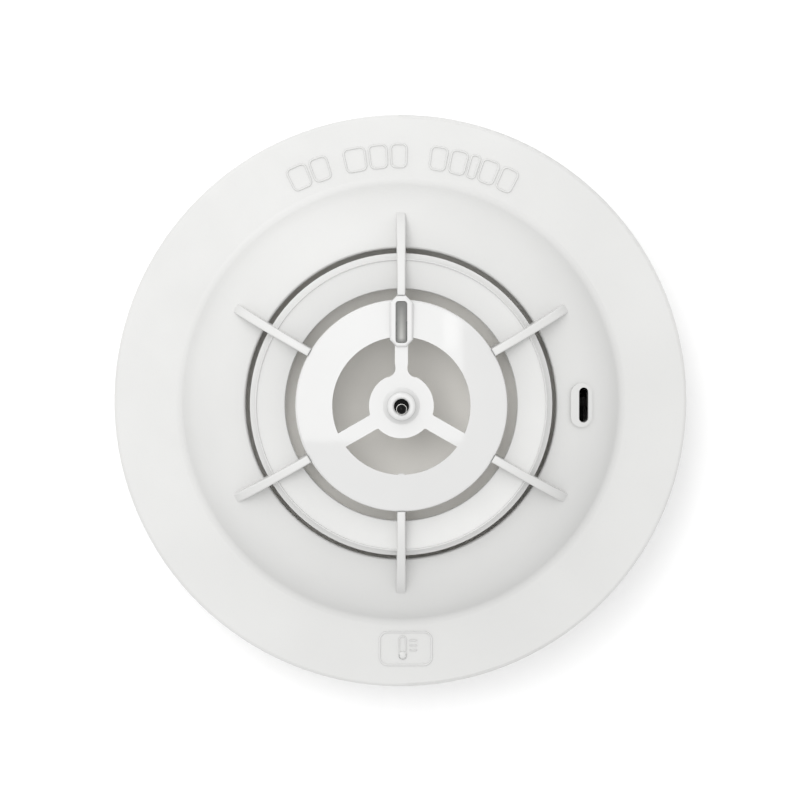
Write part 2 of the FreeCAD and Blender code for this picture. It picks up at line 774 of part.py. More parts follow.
def make_cap_disc(body):
    """The crowned plate, the nozzle at its middle and the short skirt that sits on the carrier ring."""
    edge, edge_low = d.cap_edge_round, d.cap_rim_height - d.cap_edge_height
    nozzle_foot = d.cap_hub_height + 0.05
    socket_roof = d.boot_top + d.boot_clearance
    socket_foot = d.carrier_high - 1
    socket_radius = d.boot_radius + d.socket_wall
    skirt_inner, plate_at_rim = d.carrier_inner_radius + 0.4, 1.3
    turn(body, "cap_disc", [
        (d.cap_radius, edge_low),
        (d.cap_radius, d.cap_rim_height - edge),
        Arc(d.cap_radius - edge, d.cap_rim_height, edge, -1),
        Arc(d.hub_radius, d.cap_hub_height, d.cap_crown_radius, -1),
        (d.nozzle_base_radius, nozzle_foot),
        Arc(d.nozzle_radius, d.nozzle_height - d.nozzle_edge_round, d.nozzle_cove_radius, 1),
        Arc(d.nozzle_radius - d.nozzle_edge_round, d.nozzle_height, d.nozzle_edge_round, -1),
        (d.nozzle_hole_radius + d.nozzle_bore_round, d.nozzle_height),
        Arc(d.nozzle_hole_radius, d.nozzle_height - d.nozzle_bore_round, d.nozzle_bore_round, -1),
        (d.nozzle_hole_radius, socket_roof),
        (d.boot_radius, socket_roof),
        (d.boot_radius, socket_foot),
        (socket_radius, socket_foot),
        (socket_radius, d.cap_hub_height - d.cap_plate),
        Arc(skirt_inner, d.cap_rim_height - plate_at_rim, d.cap_crown_radius, 1),
        (skirt_inner, d.carrier_high),
        (d.carrier_outer_radius, d.carrier_high),
        (d.carrier_outer_radius, edge_low)])


def make_bezel(body):
    """The raised frame of the light window, with cut corners, and the opening for the light pipe."""
    half, corner = d.bezel_width / 2, d.bezel_corner
    low, high = d.bezel_inner, d.bezel_outer
    bezel_root, opening_depth = 0.4, 1.2
    raise_outline(body, "bezel", [[
        (corner - half, low), (half - corner, low), (half, low + corner), (half, high - corner),
        (half - corner, high), (corner - half, high), (-half, high - corner), (-half, low + corner)]],
        d.cap_rim_height - bezel_root, d.bezel_height)
    fit = d.pipe_fit
    opening = d.pipe_width / 2 + fit
    sink_outline(body, "bezel_window", [rounded_rectangle(-opening, d.pipe_inner - fit, opening,
                                                          d.pipe_outer + fit, d.pipe_corner + fit)],
                 d.bezel_height + PAST, d.cap_rim_height - opening_depth)


def make_snap_legs(body):
    """Three hooked legs that hold the cap down on the carrier ring."""
    leg_gap_out, leg_sheet, hook_reach = 0.3, 1.3, 0.6
    leg_outer = d.carrier_inner_radius - leg_gap_out
    leg_low, leg_root = d.carrier_low - 1, d.cap_rim_height - 1
    hook_top = d.carrier_low - 0.1
    from_angle, to_angle = SNAP_LEG_ANGLE - SNAP_LEG_HALF_ARC, SNAP_LEG_ANGLE + SNAP_LEG_HALF_ARC
    leg = raise_outline(body, "snap_leg", [sector(leg_outer - leg_sheet, leg_outer, from_angle, to_angle)],
                        leg_low, leg_root)
    hook = raise_outline(body, "snap_hook", [sector(leg_outer - ROOT, d.carrier_inner_radius + hook_reach,
                                                    from_angle, to_angle)], leg_low, hook_top)
    repeat_round(body, "snap_legs", [leg, hook], len(THIRDS))


def make_centre_cap():
    body = new_body("centre_cap")
    make_cap_disc(body)
    make_windows(body)
    make_bezel(body)
    make_snap_legs(body)
    round_edges(body, "bezel_rounding", is_bezel_rim_edge, d.bezel_round)
    tab_half, tab_reach, tab_root = 0.55, 0.22, 0.4
    tab_low, tab_high = d.cap_rim_height - 0.8, d.cap_rim_height - 0.1
    raise_outline(body, "gate_tab", [rectangle(-tab_half, -d.window_outer_radius - tab_root,
                                               tab_half, -d.window_outer_radius + tab_reach)],
                  tab_low, tab_high)
    return body


# ---------------------------------------------------------------- pieces inside the head

def make_thermistor():
    """The bead in front of the nozzle, its two leads, and the sleeve that holds them in the cap."""
    sleeve_foot = d.carrier_high - 0.8
    boot = new_body("thermistor_boot")
    raise_disc(boot, "sleeve", 0, 0, d.boot_radius, sleeve_foot, d.boot_top)
    bead = new_body("thermistor_bead")
    ball = bead.newObject("PartDesign::AdditiveSphere", "ball")
    bind(ball, "Radius", d.bead_radius)
    bind(ball, "AttachmentOffset.Base.y", d.bead_offset)
    bind(ball, "AttachmentOffset.Base.z", d.bead_height)
    ball.AttachmentSupport = [(origin_feature(bead, "XY_Plane"), "")]
    ball.MapMode = "FlatFace"
    leads = new_body("thermistor_leads")
    lead_bite = 0.08
    for number, x in enumerate((-d.lead_spread, d.lead_spread), start=1):
        raise_disc(leads, "lead_{}".format(number), x, d.bead_offset, d.lead_radius,
                   d.board_high, d.bead_height - d.bead_radius + lead_bite)
        sink_disc(boot, "lead_hole_{}".format(number), x, d.bead_offset, d.lead_radius,
                  d.nozzle_height, sleeve_foot - PAST)
    return [boot, bead, leads]


def make_light_pipe():
    """The window in the bezel with its stem down to the board, and the alarm light below the stem."""
    body = new_body("light_pipe")
    half = d.pipe_width / 2
    blade_low, blade_high = d.cap_rim_height - 1.1, d.bezel_height - 0.35
    raise_outline(body, "window_blade", [rounded_rectangle(-half, d.pipe_inner, half, d.pipe_outer,
                                                           d.pipe_corner)], blade_low, blade_high)
    led_height, led_gap, led_inset = 1.8, 0.2, 0.6
    led_top = d.board_high + led_height
    raise_outline(body, "stem", [rectangle(-half, d.stem_inner, half, d.stem_outer)],
                  led_top + led_gap, blade_low)
    led = new_body("alarm_led")
    raise_outline(led, "package", [rectangle(-half, d.stem_inner + led_inset,
                                             half, d.stem_outer - led_inset)], d.board_high, led_top)
    return [body, led]


def make_baffle():
    """The funnel that closes off the air path, on three posts, and the gasket under its floor."""
    body = new_body("inner_baffle")
    wall = d.baffle_wall
    shelf_under = d.baffle_shelf_height - wall
    lead_gap, throat_inset = 1.3, 0.5
    turn(body, "funnel", [
        (lead_gap, d.baffle_floor),
        (d.baffle_throat_radius, d.baffle_floor),
        (d.baffle_rim_radius - wall, d.baffle_rim_height - wall * 1.2),
        (d.baffle_rim_radius - wall, shelf_under),
        (d.baffle_shelf_radius, shelf_under),
        (d.baffle_shelf_radius, d.baffle_shelf_height),
        (d.baffle_rim_radius, d.baffle_shelf_height),
        (d.baffle_rim_radius, d.baffle_rim_height),
        (d.baffle_rim_radius - wall * 1.3, d.baffle_rim_height),
        (d.baffle_throat_radius - throat_inset, d.baffle_floor + wall),
        (lead_gap, d.baffle_floor + wall)])
    gap = 0.4
    reach = d.pipe_width / 2 + gap
    sink_outline(body, "pipe_slot", [rectangle(-reach, d.stem_inner - gap, reach, d.stem_outer + gap)],
                 d.baffle_rim_height, d.baffle_floor)
    sink_outline(body, "tool_notch", [tool_path(d.baffle_shelf_radius)],
                 d.baffle_shelf_height + PAST, shelf_under - PAST)
    post_radius, pilot_roof = 2.4, 0.6
    x, y = polar(d.frame_screw_circle, THIRDS[0])
    post = raise_disc(body, "post", x, y, post_radius, d.board_high, shelf_under + ROOT)
    repeat_round(body, "posts", [post], len(THIRDS))
    pilot = sink_disc(body, "post_pilot", x, y, d.frame_screw_radius, shelf_under - pilot_roof,
                      d.board_high)
    repeat_round(body, "post_pilots", [pilot], len(THIRDS))

    gasket = new_body("baffle_gasket")
    gasket_bore = 3.5
    raise_disc(gasket, "ring", 0, 0, d.baffle_throat_radius, d.board_high, d.baffle_floor, gasket_bore)
    return [body, gasket]


def make_board():
    body = new_body("circuit_board")
    raise_disc(body, "sheet", 0, 0, d.board_radius, d.board_low, d.board_high)
    x, y = polar(d.frame_screw_circle, THIRDS[0])
    above, below = d.board_high + PAST, d.board_low - PAST
    hole = sink_disc(body, "screw_hole", x, y, d.frame_screw_radius + d.frame_screw_play, above, below)
    repeat_round(body, "screw_holes", [hole], len(THIRDS))
    leg_slot = sink_outline(body, "leg_slot", [leg_gap()], above, below)
    repeat_round(body, "leg_slots", [leg_slot], CONTACT_COUNT)
    sink_outline(body, "tool_notch", [tool_path(d.board_radius)], above, below)
    return body


def tool_path(outer):
    """The notch, open outwards, that lets a release tool through towards the lock tongue."""
    inner_reach, low_y, high_y = 2, -5, 4
    return rectangle(d.tool_slot_radius - inner_reach, low_y, outer + 2 * PAST, high_y)


def leg_gap():
    """The opening that a contact blade's leg passes through."""
    play = 0.2
    return sector(d.blade_inner - play, d.blade_inner + d.blade_sheet + play,
                  CONTACT_ANGLE - LEG_SLOT_HALF_ARC, CONTACT_ANGLE + LEG_SLOT_HALF_ARC)


def make_packages(name, places, width, depth, height):
    """Flat packages standing on the board, as one node; places are (x, y, quarter turned or not)."""
    body = new_body(name)
    outlines = []
    for x, y, is_turned in places:
        size = (depth, width) if is_turned else (width, depth)
        outlines.append(centred_rectangle(x, y, *size))
    raise_outline(body, "packages", outlines, d.board_high, d.board_high + height)
    return body


def make_board_parts():
    capacitors = new_body("capacitors")
    can_radius, can_height = 3.15, 8
    for number, (x, y) in enumerate(CAPACITOR_PLACES, start=1):
        raise_disc(capacitors, "can_{}".format(number), x, y, can_radius,
                   d.board_high, d.board_high + can_height)
    return [make_packages("microcontroller", CONTROLLER_PLACE, 7, 7, 1.2),
            make_packages("interface_chips", INTERFACE_PLACES, 5, 4, 1.5),
            capacitors,
            make_packages("chip_parts", CHIP_PART_PLACES, 2.0, 1.25, 0.8)]


def make_housing():
    """The closing plate with its rim, three bayonet lugs and the openings for contacts and tongue."""
    body = new_body("rear_housing")
    rim_inner = d.housing_rim_radius - d.housing_rim_wall
    turn(body, "plate", [
        (0, d.housing_low), (rim_inner, d.housing_low), (rim_inner, d.housing_rim_low),
        (d.housing_rim_radius, d.housing_rim_low), (d.housing_rim_radius, d.housing_low),
        (d.housing_radius, d.housing_low), (d.housing_radius, d.housing_high), (0, d.housing_high)])
    lug = raise_outline(body, "lug", [sector(d.housing_rim_radius - ROOT, d.lug_radius,
                                             LUG_ANGLE - LUG_HALF_ARC, LUG_ANGLE + LUG_HALF_ARC)],
                        d.lug_low, d.lug_high)
    repeat_round(body, "lugs", [lug], len(THIRDS))
    above, below = d.board_low + PAST, d.housing_low - PAST
    frame_x, frame_y = polar(d.frame_screw_circle, THIRDS[0])
    stud = raise_disc(body, "standoff", frame_x, frame_y, d.standoff_radius, d.housing_high - ROOT,
                      d.board_low)
    repeat_round(body, "standoffs", [stud], len(THIRDS))
    cover_x, cover_y = polar(d.cover_screw_circle, THIRDS[0])
    frame_hole, cover_hole = (d.frame_screw_radius + d.frame_screw_play,
                              d.cover_screw_radius + d.cover_screw_play)
    holes = [sink_disc(body, "frame_hole", frame_x, frame_y, frame_hole, above, below),
             sink_disc(body, "cover_hole", cover_x, cover_y, cover_hole, above, below)]
    repeat_round(body, "screw_holes", holes, len(THIRDS))
    rivet_x, rivet_y = polar(d.rivet_circle, CONTACT_ANGLE)
    cuts = [sink_outline(body, "leg_slot", [leg_gap()], above, below),
            sink_disc(body, "rivet_hole", rivet_x, rivet_y, d.rivet_radius, above, below)]
    repeat_round(body, "contact_openings", cuts, CONTACT_COUNT)
    tongue_play = 0.5
    sink_outline(body, "tongue_slot", [sector(d.tongue_inner - tongue_play, d.tongue_outer + tongue_play,
                                              *TONGUE_SLOT_ARC)], above, below)
    label = new_body("rating_label")
    raise_disc(label, "sheet", 0, 0, d.label_radius, d.housing_low - d.label_sheet, d.housing_low)
    return [body, label]


def make_screws(name, circle, radius, head_radius, head_height, top):
    """Three pan-head screws driven upwards from under the housing."""
    body = new_body(name)
    x, y = polar(circle, THIRDS[0])
    head_low = d.housing_low - head_height
    features = [raise_disc(body, "shank", x, y, radius, d.housing_low, top),
                raise_disc(body, "head", x, y, head_radius, head_low, d.housing_low)]
    arm, half, recess_share = head_radius * 0.62, head_radius * 0.13, 0.55
    recess_top, recess_low = head_low + head_height * recess_share, head_low - PAST
    for number, (reach_x, reach_y) in enumerate(((arm, half), (half, arm)), start=1):
        slot = rectangle(x - reach_x, y - reach_y, x + reach_x, y + reach_y)
        features.append(sink_outline(body, "cross_{}".format(number), [slot], recess_top, recess_low))
    repeat_round(body, "three", features, len(THIRDS))
    return body


# ---------------------------------------------------------------- contacts

def make_blade(number):
    """A contact blade: foot in the base's clip, leg up through the housing, riveted flange."""
    body = new_body("contact_blade_{}".format(number))
    angle = CONTACT_ANGLE + (number - 1) * 90
    leg_from, leg_to = angle - LEG_HALF_ARC, angle + LEG_HALF_ARC
    leg_outer = d.blade_inner + d.blade_sheet
    flange_reach = 1.9
    raise_outline(body, "foot", [sector(d.blade_inner, d.blade_outer, angle - CONTACT_HALF_ARC,
                                        angle + CONTACT_HALF_ARC)],
                  d.blade_low, d.blade_low + d.blade_sheet)
    raise_outline(body, "leg", [sector(d.blade_inner, leg_outer, leg_from, leg_to)],
                  d.blade_low, d.blade_top)
    flange_low = d.housing_low - d.blade_sheet
    raise_outline(body, "flange", [sector(d.rivet_circle - flange_reach, leg_outer, leg_from, leg_to)],
                  flange_low, d.housing_low)
    x, y = polar(d.rivet_circle, angle)
    sink_disc(body, "rivet_hole", x, y, d.rivet_radius, d.housing_low + PAST, flange_low - PAST)
    return body


def make_rivets():
    body = new_body("blade_rivets")
    x, y = polar(d.rivet_circle, CONTACT_ANGLE)
    low, high = d.housing_low - d.blade_sheet, d.housing_high
    head_radius, head_height = d.rivet_radius + 0.7, 0.6
    features = [raise_disc(body, "shank", x, y, d.rivet_radius, low, high),
                raise_disc(body, "tail", x, y, head_radius, low - head_height, low),
                raise_disc(body, "head", x, y, head_radius, high, high + head_height)]
    repeat_round(body, "four", features, CONTACT_COUNT)
    return body


def make_clip(number):
    """A sprung U clip whose lower leaf runs on to the wire terminal."""
    body = new_body("contact_clip_{}".format(number))
    angle = CONTACT_ANGLE + (number - 1) * 90
    terminal = TERMINAL_ANGLE + (number - 1) * 90
    from_angle, to_angle = angle - CONTACT_HALF_ARC, angle + CONTACT_HALF_ARC
    sheet_top = d.clip_low + d.clip_sheet
    leaf_from = terminal - TERMINAL_LEAF_ARC
    raise_outline(body, "lower_leaf", [sector(d.clip_inner, d.clip_outer, leaf_from, to_angle)],
                  d.clip_low, sheet_top)
    raise_outline(body, "web", [sector(d.clip_outer - d.clip_sheet, d.clip_outer, from_angle, to_angle)],
                  d.clip_low, d.clip_high)
    raise_outline(body, "upper_leaf", [sector(d.clip_inner, d.clip_outer, from_angle, to_angle)],
                  d.clip_high - d.clip_sheet, d.clip_high)
    x, y = polar(d.terminal_circle, terminal)
    sink_disc(body, "screw_hole", x, y, d.terminal_screw_radius, sheet_top + PAST, d.clip_low - PAST)
    return body


def make_terminals():
    """The four clamp screws and the square washers that hold the wires."""
    screws = new_body("terminal_screws")
    x, y = polar(d.terminal_circle, TERMINAL_ANGLE)
    washer_low = d.clip_low + d.clip_sheet
    washer_high = washer_low + d.washer_sheet
    head_radius, head_height, slot_half, slot_depth = 3.0, 2.2, 0.4, 1.2
    head_high, slot_reach = washer_high + head_height, head_radius + ROOT
    slot = rectangle(x - slot_reach, y - slot_half, x + slot_reach, y + slot_half)
    features = [raise_disc(screws, "shank", x, y, d.terminal_screw_radius, d.terminal_screw_tip,
                           washer_high),
                raise_disc(screws, "head", x, y, head_radius, washer_high, head_high),
                sink_outline(screws, "drive_slot", [slot], head_high + PAST, head_high - slot_depth)]
    repeat_round(screws, "four", features, CONTACT_COUNT)

    washers = new_body("clamp_washers")
    plate = raise_outline(washers, "plate", [radial_bar(d.terminal_circle - d.washer_half,
                                                        d.terminal_circle + d.washer_half,
                                                        d.washer_half * 2, TERMINAL_ANGLE)],
                          washer_low, washer_high)
    hole = sink_disc(washers, "hole", x, y, d.terminal_screw_radius, washer_high + PAST,
                     washer_low - PAST)
    repeat_round(washers, "four", [plate, hole], CONTACT_COUNT)
    return [screws, washers]


# ---------------------------------------------------------------- mounting base

def make_base_dish(body):
    """Floor, outer rim and bayonet ring, with a shallow recess in the back."""
    rim_inner = d.base_top_radius - d.base_rim_wall
    floor = d.base_floor
    turn(body, "dish", [
        (0, d.back_recess), (d.back_face_inner, d.back_recess), (d.back_face_inner, 0),
        (d.base_radius, 0), (d.base_top_radius, d.base_rim_height),
        (rim_inner, d.base_rim_height), (rim_inner, floor), (d.bayonet_outer, floor),
        (d.bayonet_outer, d.bayonet_height), (d.bayonet_inner, d.bayonet_height),
        (d.bayonet_inner, floor), (0, floor)])


def make_bayonet_ledges(body):
    """Three ledges that the lugs twist under, each with a stop at its end."""
    ring_bite, stop_half_arc, stop_bite = 0.4, 1, 0.5
    inner, outer = d.ledge_inner, d.bayonet_inner + ring_bite
    ledge_from, ledge_to = LUG_ANGLE - LEDGE_HALF_ARC, LUG_ANGLE + LEDGE_HALF_ARC
    ledge = raise_outline(body, "ledge", [sector(inner, outer, ledge_from, ledge_to)],
                          d.ledge_low, d.bayonet_height)
    stop = raise_outline(body, "stop", [sector(inner, outer, ledge_from - stop_half_arc,
                                               ledge_from + stop_half_arc)],
                         d.base_floor - ROOT, d.ledge_low + stop_bite)
    repeat_round(body, "three_ledges", [ledge, stop], len(THIRDS))


def make_terminal_towers(body):
    """The blocks that carry the contact clips, each with a low wall between it and the next wire."""
    inner, outer = d.clip_inner - 0.4, d.clip_outer + 2.2
    foot = d.base_floor - ROOT
    tower_from, tower_to = TERMINAL_ANGLE - 7, CONTACT_ANGLE + 7.5
    tower = raise_outline(body, "tower", [sector(inner, outer, tower_from, tower_to)], foot, d.clip_low)
    wall_arc, wall_bite, wall_height = 1.6, 0.2, 1.2
    wall_to = tower_from + wall_bite
    wall = raise_outline(body, "barrier", [sector(inner, outer, wall_to - wall_arc - wall_bite, wall_to)],
                         foot, d.clip_high + wall_height)
    repeat_round(body, "towers", [tower, wall], CONTACT_COUNT)
    x, y = polar(d.terminal_circle, TERMINAL_ANGLE)
    pilot = sink_disc(body, "terminal_pilot", x, y, d.terminal_screw_radius, d.clip_low + PAST,
                      d.terminal_screw_tip)
    repeat_round(body, "terminal_pilots", [pilot], CONTACT_COUNT)


def make_base():
    body = new_body("base_plate")
    make_base_dish(body)
    make_bayonet_ledges(body)
    make_terminal_towers(body)
    post_inset, post_outset, post_start, post_end, leaf_gap = 0.9, 1.1, 0.2, 3.6, 0.3
    raise_outline(body, "tongue_post", [rectangle(d.tongue_inner - post_inset, d.tongue_root - post_start,
                                                  d.tongue_outer + post_outset, d.tongue_root + post_end)],
                  d.base_floor - ROOT, d.tongue_low - leaf_gap)
    tick_inset, tick_margin = 0.6, as_size(1.2)
    make_alignment_tick(body, d.base_radius - tick_inset, tick_margin, d.base_rim_height - tick_margin)
    half_x, half_y = d.slot_spacing_x / 2, d.slot_spacing_y / 2
    across, along = d.slot_half_width * 2, d.slot_length
    above, below = d.base_floor + PAST, as_size(-PAST)
    sink_outline(body, "fixing_slots", [slot_along_x(half_x, 0, across, along),
                                        slot_along_x(-half_x, 0, across, along),
                                        slot_along_y(0, half_y, across, along),
                                        slot_along_y(0, -half_y, across, along)], above, below)
    sink_outline(body, "cable_entry", [cut_corner_box(d.cable_entry_length, d.cable_entry_width,
                                                      d.cable_entry_corner)], above, below)
    return body


def make_tongue():
    """The lock tongue: a leaf with a ramped tip that stands up into the housing's arc slot."""
    body = new_body("lock_tongue")
    leaf_top = d.tongue_low + d.tongue_leaf
    raise_outline(body, "leaf", [rectangle(d.tongue_inner, d.tongue_root, d.tongue_outer, d.tongue_tip)],
                  d.tongue_low, leaf_top)
    side = new_sketch(body, "tip_side", "YZ_Plane", height=d.tongue_inner)
    tip_length, ramp_run, ramp_rise = 3.0, 1.2, 1.4
    tip_back = d.tongue_tip - tip_length
    draw_outline(side, [(tip_back, d.tongue_low), (d.tongue_tip, d.tongue_low),
                        (d.tongue_tip, d.tongue_top - ramp_rise),
                        (d.tongue_tip - ramp_run, d.tongue_top), (tip_back, d.tongue_top)])
    tip = take_profile(body, "PartDesign::Pad", "tip", side)
    bind(tip, "Length", d.tongue_outer - d.tongue_inner)
    return body


# ---------------------------------------------------------------- assembly and export

def make_all():
    nodes = [make_outer_cover(), make_centre_cap()]
    nodes += make_thermistor()
    nodes += make_light_pipe()
    nodes += make_baffle()
    nodes.append(make_board())
    nodes += make_board_parts()
    nodes += make_housing()
    nodes.append(make_screws("frame_screws", d.frame_screw_circle, d.frame_screw_radius,
                             d.frame_screw_head, d.frame_screw_head_height, d.frame_screw_tip))
    nodes.append(make_screws("cover_screws", d.cover_screw_circle, d.cover_screw_radius,
                             d.cover_screw_head, d.cover_screw_head_height, d.cover_screw_tip))
    nodes += [make_blade(number) for number in range(1, CONTACT_COUNT + 1)]
    nodes.append(make_rivets())
    nodes += [make_clip(number) for number in range(1, CONTACT_COUNT + 1)]
    nodes += make_terminals()
    nodes.append(make_base())
    nodes.append(make_tongue())
    return nodes


def check_document(nodes):
    """Stops before anything is written if a feature failed or a shape is empty or invalid."""
    doc.recompute()
    for item in doc.Objects:
        if "Invalid" in item.State or "Error" in item.State:
            raise RuntimeError(item.Name + " failed: " + item.getStatusString())
    for node in nodes:
        if node.Shape.isNull() or not node.Shape.isValid() or node.Shape.Volume <= 0:
            raise RuntimeError(node.Label + " has no valid solid")


parts = make_all()
check_document(parts)
os.makedirs("parts", exist_ok=True)
for node in parts:
    node.Shape.exportStep("parts/" + node.Label + ".step")
    counts = (node.Label, len(node.Shape.Solids), node.Shape.Volume)
    print("{:20s} solids {:2d}  volume {:10.2f}".format(*counts))
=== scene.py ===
import json
import math

import bmesh
import bpy
from mathutils import Matrix, Vector


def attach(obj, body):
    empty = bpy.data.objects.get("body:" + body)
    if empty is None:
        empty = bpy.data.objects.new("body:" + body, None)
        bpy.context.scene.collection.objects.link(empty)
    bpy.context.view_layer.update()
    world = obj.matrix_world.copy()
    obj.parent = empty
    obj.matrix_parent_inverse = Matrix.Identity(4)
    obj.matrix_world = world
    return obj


# Ceiling heat detector lying on its back, sensing face up.
# The frame is in metres; lengths written in millimetres are multiplied by MM.

MM = 0.001

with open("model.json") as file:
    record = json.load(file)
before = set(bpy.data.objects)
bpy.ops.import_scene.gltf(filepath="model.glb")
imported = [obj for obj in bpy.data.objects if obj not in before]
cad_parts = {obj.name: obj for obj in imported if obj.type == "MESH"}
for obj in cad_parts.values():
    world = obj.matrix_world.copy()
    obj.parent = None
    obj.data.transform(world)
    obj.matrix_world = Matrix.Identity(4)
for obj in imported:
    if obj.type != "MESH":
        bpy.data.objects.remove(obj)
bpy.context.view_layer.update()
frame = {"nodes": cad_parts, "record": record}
nodes = frame["nodes"]


# ---------------------------------------------------------------- material nodes

class Finish:
    """A material under construction: one shader and the nodes that vary it over the surface."""

    def __init__(self, name, **constants):
        self.material = bpy.data.materials.new(name)
        self.material.use_nodes = True
        self.tree = self.material.node_tree
        self.tree.nodes.clear()
        output = self.tree.nodes.new("ShaderNodeOutputMaterial")
        self.shader = self.tree.nodes.new("ShaderNodeBsdfPrincipled")
        self.tree.links.new(self.shader.outputs["BSDF"], output.inputs["Surface"])
        for socket, value in constants.items():
            self.shader.inputs[socket.replace("_", " ")].default_value = value
        self.place = self.node("ShaderNodeTexCoord").outputs["Object"]

    def node(self, kind, **settings):
        made = self.tree.nodes.new(kind)
        for name, value in settings.items():
            setattr(made, name, value)
        return made

    def feed(self, socket, source):
        """Links a node's output to a socket, or sets a plain value on it."""
        if isinstance(source, bpy.types.NodeSocket):
            self.tree.links.new(source, socket)
        else:
            socket.default_value = source

    def stretched(self, scale):
        """Object coordinates with each axis scaled on its own."""
        mapping = self.node("ShaderNodeMapping")
        self.feed(mapping.inputs["Vector"], self.place)
        mapping.inputs["Scale"].default_value = scale
        return mapping.outputs["Vector"]

    def noise(self, scale, detail=2.0, roughness=0.5, place=None):
        made = self.node("ShaderNodeTexNoise")
        self.feed(made.inputs["Vector"], place or self.place)
        made.inputs["Scale"].default_value = scale
        made.inputs["Detail"].default_value = detail
        made.inputs["Roughness"].default_value = roughness
        return made.outputs["Fac"]

    def cells(self, scale, feature="F1"):
        made = self.node("ShaderNodeTexVoronoi", feature=feature)
        self.feed(made.inputs["Vector"], self.place)
        made.inputs["Scale"].default_value = scale
        return made.outputs["Distance"]

    def ramp(self, source, stops, smooth=False):
        """Colours along 0 to 1; each stop is (position, (r, g, b))."""
        made = self.node("ShaderNodeValToRGB")
        made.color_ramp.interpolation = "EASE" if smooth else "LINEAR"
        elements = made.color_ramp.elements
        while len(elements) < len(stops):
            elements.new(0.5)
        for element, (position, colour) in zip(elements, stops):
            element.position = position
            element.color = (*colour, 1.0)
        self.feed(made.inputs["Fac"], source)
        return made.outputs["Color"]

    def between(self, source, low, high, from_low=0.3, from_high=0.7):
        """A number that goes from low to high as the source goes between its own two ends."""
        made = self.node("ShaderNodeMapRange")
        for name, value in (("From Min", from_low), ("From Max", from_high), ("To Min", low),
                            ("To Max", high)):
            made.inputs[name].default_value = value
        self.feed(made.inputs["Value"], source)
        return made.outputs["Result"]

    def math(self, operation, first, second=0.0):
        made = self.node("ShaderNodeMath", operation=operation)
        self.feed(made.inputs[0], first)
        self.feed(made.inputs[1], second)
        return made.outputs[0]

    def mix(self, amount, first, second):
        """A colour mixed from two colours or colour outputs."""
        made = self.node("ShaderNodeMix", data_type="RGBA")
        self.feed(made.inputs[0], amount)
        for socket, source in ((made.inputs[6], first), (made.inputs[7], second)):
            self.feed(socket, source if isinstance(source, bpy.types.NodeSocket) else (*source, 1.0))
        return made.outputs[2]

    def axis(self, letter, source=None):
        """One axis of the object coordinates, or of another vector."""
        split = self.node("ShaderNodeSeparateXYZ")
        self.feed(split.inputs[0], source or self.place)
        return split.outputs[letter]

    def facing(self, letter):
        """How far the surface faces along one of the object's own axes."""
        return self.axis(letter, self.node("ShaderNodeTexCoord").outputs["Normal"])

    def colour(self, source):
        self.feed(self.shader.inputs["Base Color"], source)

    def rough(self, source):
        self.feed(self.shader.inputs["Roughness"], source)

    def relief(self, *layers):
        """Bump layers, each (height output, depth in metres)."""
        normal = None
        for height, depth in layers:
            bump = self.node("ShaderNodeBump")
            bump.inputs["Distance"].default_value = depth
            self.feed(bump.inputs["Height"], height)
            if normal is not None:
                self.feed(bump.inputs["Normal"], normal)
            normal = bump.outputs["Normal"]
        self.feed(self.shader.inputs["Normal"], normal)


# ---------------------------------------------------------------- materials

# Depths of surface relief, in metres.
MICRON = 1e-6

COVER_WHITE = (0.558, 0.558, 0.55)
CAP_WHITE = (0.56, 0.56, 0.556)
BAFFLE_CREAM = (0.79, 0.773, 0.735)
HOUSING_WHITE = (0.6, 0.6, 0.588)
BASE_WHITE = (0.57, 0.57, 0.56)
TONGUE_BLACK = (0.009, 0.009, 0.0095)


def shade(colour, factor):
    return tuple(channel * factor for channel in colour)


def moulded_plastic(name, colour, roughness, grain_depth, spread=0.02):
    """Injection-moulded plastic: eroded-tool grain, faint flow marks and a little dust."""
    finish = Finish(name)
    flow = finish.noise(38, detail=3, roughness=0.55, place=finish.stretched((1.0, 1.0, 2.2)))
    tone = finish.ramp(flow, [(0.25, shade(colour, 1 - spread)), (0.75, shade(colour, 1 + spread))], True)
    dust = finish.between(finish.noise(2600, detail=1), 0.0, 0.16, 0.62, 0.8)
    finish.colour(finish.mix(dust, tone, shade(colour, 0.86)))
    patches = finish.noise(140, detail=4, roughness=0.6)
    finish.rough(finish.between(patches, roughness - 0.04, roughness + 0.05))
    waves, grain = finish.noise(24), finish.noise(3400, roughness=0.6)
    finish.relief((waves, 40 * MICRON), (grain, grain_depth))
    return finish.material


def plated_metal(name, colour, dark, roughness, brushed=(1.0, 1.0, 1.0)):
    """Plated sheet or turned metal with rolling lines and light tarnish."""
    finish = Finish(name, Metallic=1.0)
    lines = finish.noise(900, detail=4, roughness=0.6, place=finish.stretched(brushed))
    tarnish = finish.between(finish.noise(260, detail=3, roughness=0.6), 0.0, 0.6, 0.52, 0.75)
    bright = finish.ramp(lines, [(0.3, shade(colour, 0.9)), (0.7, colour)])
    finish.colour(finish.mix(tarnish, bright, dark))
    finish.rough(finish.between(lines, roughness - 0.06, roughness + 0.12))
    finish.relief((lines, 6 * MICRON))
    return finish.material


def glossy_cap_plastic():
    """Polished moulding: hardly any grain, a slow ripple and hairline scuffs."""
    finish = Finish("cap_plastic", IOR=1.5, Specular_IOR_Level=0.55)
    flow = finish.noise(55, detail=3)
    finish.colour(finish.ramp(flow, [(0.25, shade(CAP_WHITE, 0.985)), (0.75, shade(CAP_WHITE, 1.012))],
                              True))
    scuffs = finish.noise(700, detail=5, roughness=0.7, place=finish.stretched((1.0, 6.0, 1.0)))
    finish.rough(finish.between(scuffs, 0.035, 0.1, 0.45, 0.75))
    ripple, grain = finish.noise(90), finish.noise(4200, detail=1)
    finish.relief((ripple, 15 * MICRON), (grain, 1 * MICRON))
    return finish.material


